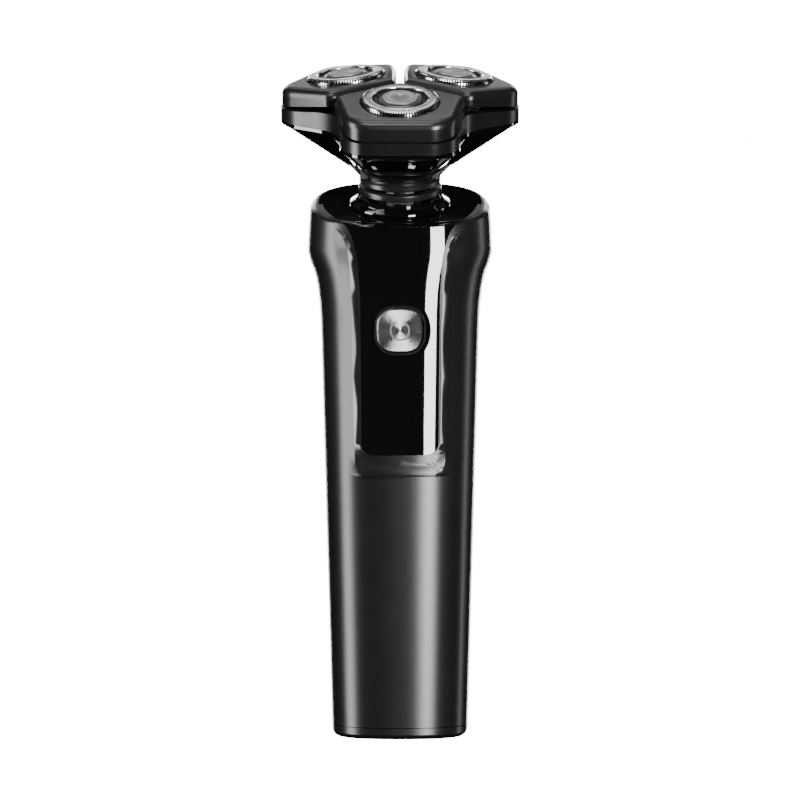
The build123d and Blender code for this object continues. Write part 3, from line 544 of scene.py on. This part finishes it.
CAP_PROFILE = (
    (0.001, -0.35), (4.35, -0.35), (4.35, 0.02), (4.28, 0.14), (4.1, 0.2), (3.6, 0.24), (0.001, 0.27),
)
MARK_R = (2.72, 2.9)        # the two arc marks on the cap
MARK_Z = 0.285
MARK_STARTS = (25, 205)
MARK_STEPS = 20
MARK_STEP = 6.5             # degrees


def disc_frame(name):
    """Placement of a foil: its centre on top, Z along its axis, from its cutter's joint."""
    joint = JOINTS["cutter_" + name + "_spin"]
    axis = Vector(joint["axis"]).normalized()
    turn = math.radians(LOBES[name])
    side = Vector((math.cos(turn), math.sin(turn), 0))
    out = (side - axis * side.dot(axis)).normalized()
    across = axis.cross(out)
    place = Matrix((out, across, axis)).transposed().to_4x4()
    place.translation = Vector(joint["pos_m"])
    return place


def lathe(bm, profile, steps, tag=0):
    """Closed solid of revolution from a closed (radius, height) outline in mm."""
    rings = []
    for i in range(steps):
        turn = 2 * math.pi * i / steps
        ring = []
        for r, z in profile:
            ring.append(bm.verts.new((r * MM * math.cos(turn), r * MM * math.sin(turn), z * MM)))
        rings.append(ring)
    count = len(profile)
    for i in range(steps):
        here, there = rings[i], rings[(i + 1) % steps]
        for k in range(count):
            m = (k + 1) % count
            face = bm.faces.new((here[k], there[k], there[m], here[m]))
            face.material_index = tag
            face.smooth = True


def bar(bm, middle, half_width, outline):
    """One bar between two slots: a radial outline given thickness across the radius."""
    sides = []
    for sign in (-1, 1):
        ring = []
        for r, z in outline:
            turn = middle + sign * half_width / r
            ring.append(bm.verts.new((r * MM * math.cos(turn), r * MM * math.sin(turn), z * MM)))
        sides.append(ring)
    count = len(outline)
    for k in range(count):
        m = (k + 1) % count
        bm.faces.new((sides[0][k], sides[1][k], sides[1][m], sides[0][m]))
    bm.faces.new(list(reversed(sides[0])))
    bm.faces.new(sides[1])


def make_foil(name, materials):
    """Round foil: side wall, slotted rim, polished band and a channel whose dark steel is painted
    shade for its recess and its unmodelled inner row of holes.
    """
    bm = bmesh.new()
    lathe(bm, FOIL_WALL, ROUND_STEPS)
    lathe(bm, FOIL_BAND, ROUND_STEPS)
    lathe(bm, FOIL_CHANNEL, ROUND_STEPS, 1)
    pitch = 2 * math.pi / SLOTS
    half = pitch * BAR_WIDTH_R * BAR_SHARE / 2
    for i in range(SLOTS):
        bar(bm, i * pitch, half, BAR_OUTLINE)
    mesh = bpy.data.meshes.new("foil_skin_" + name)
    bmesh.ops.recalc_face_normals(bm, faces=bm.faces)
    bm.transform(disc_frame(name))
    bm.to_mesh(mesh)
    bm.free()
    for material in materials:
        mesh.materials.append(material)
    piece = bpy.data.objects.new("foil_skin_" + name, mesh)
    bpy.context.scene.collection.objects.link(piece)
    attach(piece, "foil_" + name)
    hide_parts("foil_" + name)


def make_badge(name, materials):
    """Raised grey cap with a soft edge and two thin arc marks."""
    bm = bmesh.new()
    lathe(bm, CAP_PROFILE, CAP_STEPS)
    inner, outer = MARK_R
    for start in MARK_STARTS:
        for i in range(MARK_STEPS):
            a = math.radians(start + i * MARK_STEP)
            b = math.radians(start + (i + 1) * MARK_STEP)
            corners = []
            for r, t in ((inner, a), (outer, a), (outer, b), (inner, b)):
                spot = (r * MM * math.cos(t), r * MM * math.sin(t), MARK_Z * MM)
                corners.append(bm.verts.new(spot))
            face = bm.faces.new(corners)
            face.material_index = 1
    mesh = bpy.data.meshes.new("foil_cap_" + name)
    bm.transform(disc_frame(name))
    bm.to_mesh(mesh)
    bm.free()
    for material in materials:
        mesh.materials.append(material)
    piece = bpy.data.objects.new("foil_cap_" + name, mesh)
    bpy.context.scene.collection.objects.link(piece)
    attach(piece, "foil_" + name)
    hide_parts("foil_badge_" + name)


def make_foils():
    polished = turned_steel("polished_foil", 0.16, (0.8, 0.8, 0.81))
    # Dark steel for the foil's recessed channel: painted shade in the channel and its unmodelled
    # holes.
    dark = turned_steel("channel_painted_shade", 0.3, (0.12, 0.12, 0.125))
    badge = Paint("badge_grey", (0.23, 0.23, 0.235), 0.36, 0.6)
    badge.vary_roughness(badge.noise(1500, 3.0), 0.3, 0.44)
    badge.bump(badge.noise(4000, 2.0), 0.06, 0.00002)
    mark = plain_plastic("badge_mark", (0.5, 0.5, 0.51), 0.4)
    for name in LOBES:
        make_foil(name, (polished, dark))
        make_badge(name, (badge.material, mark))


make_camera()
make_studio()
dress_cad()
make_skins()
make_foils()
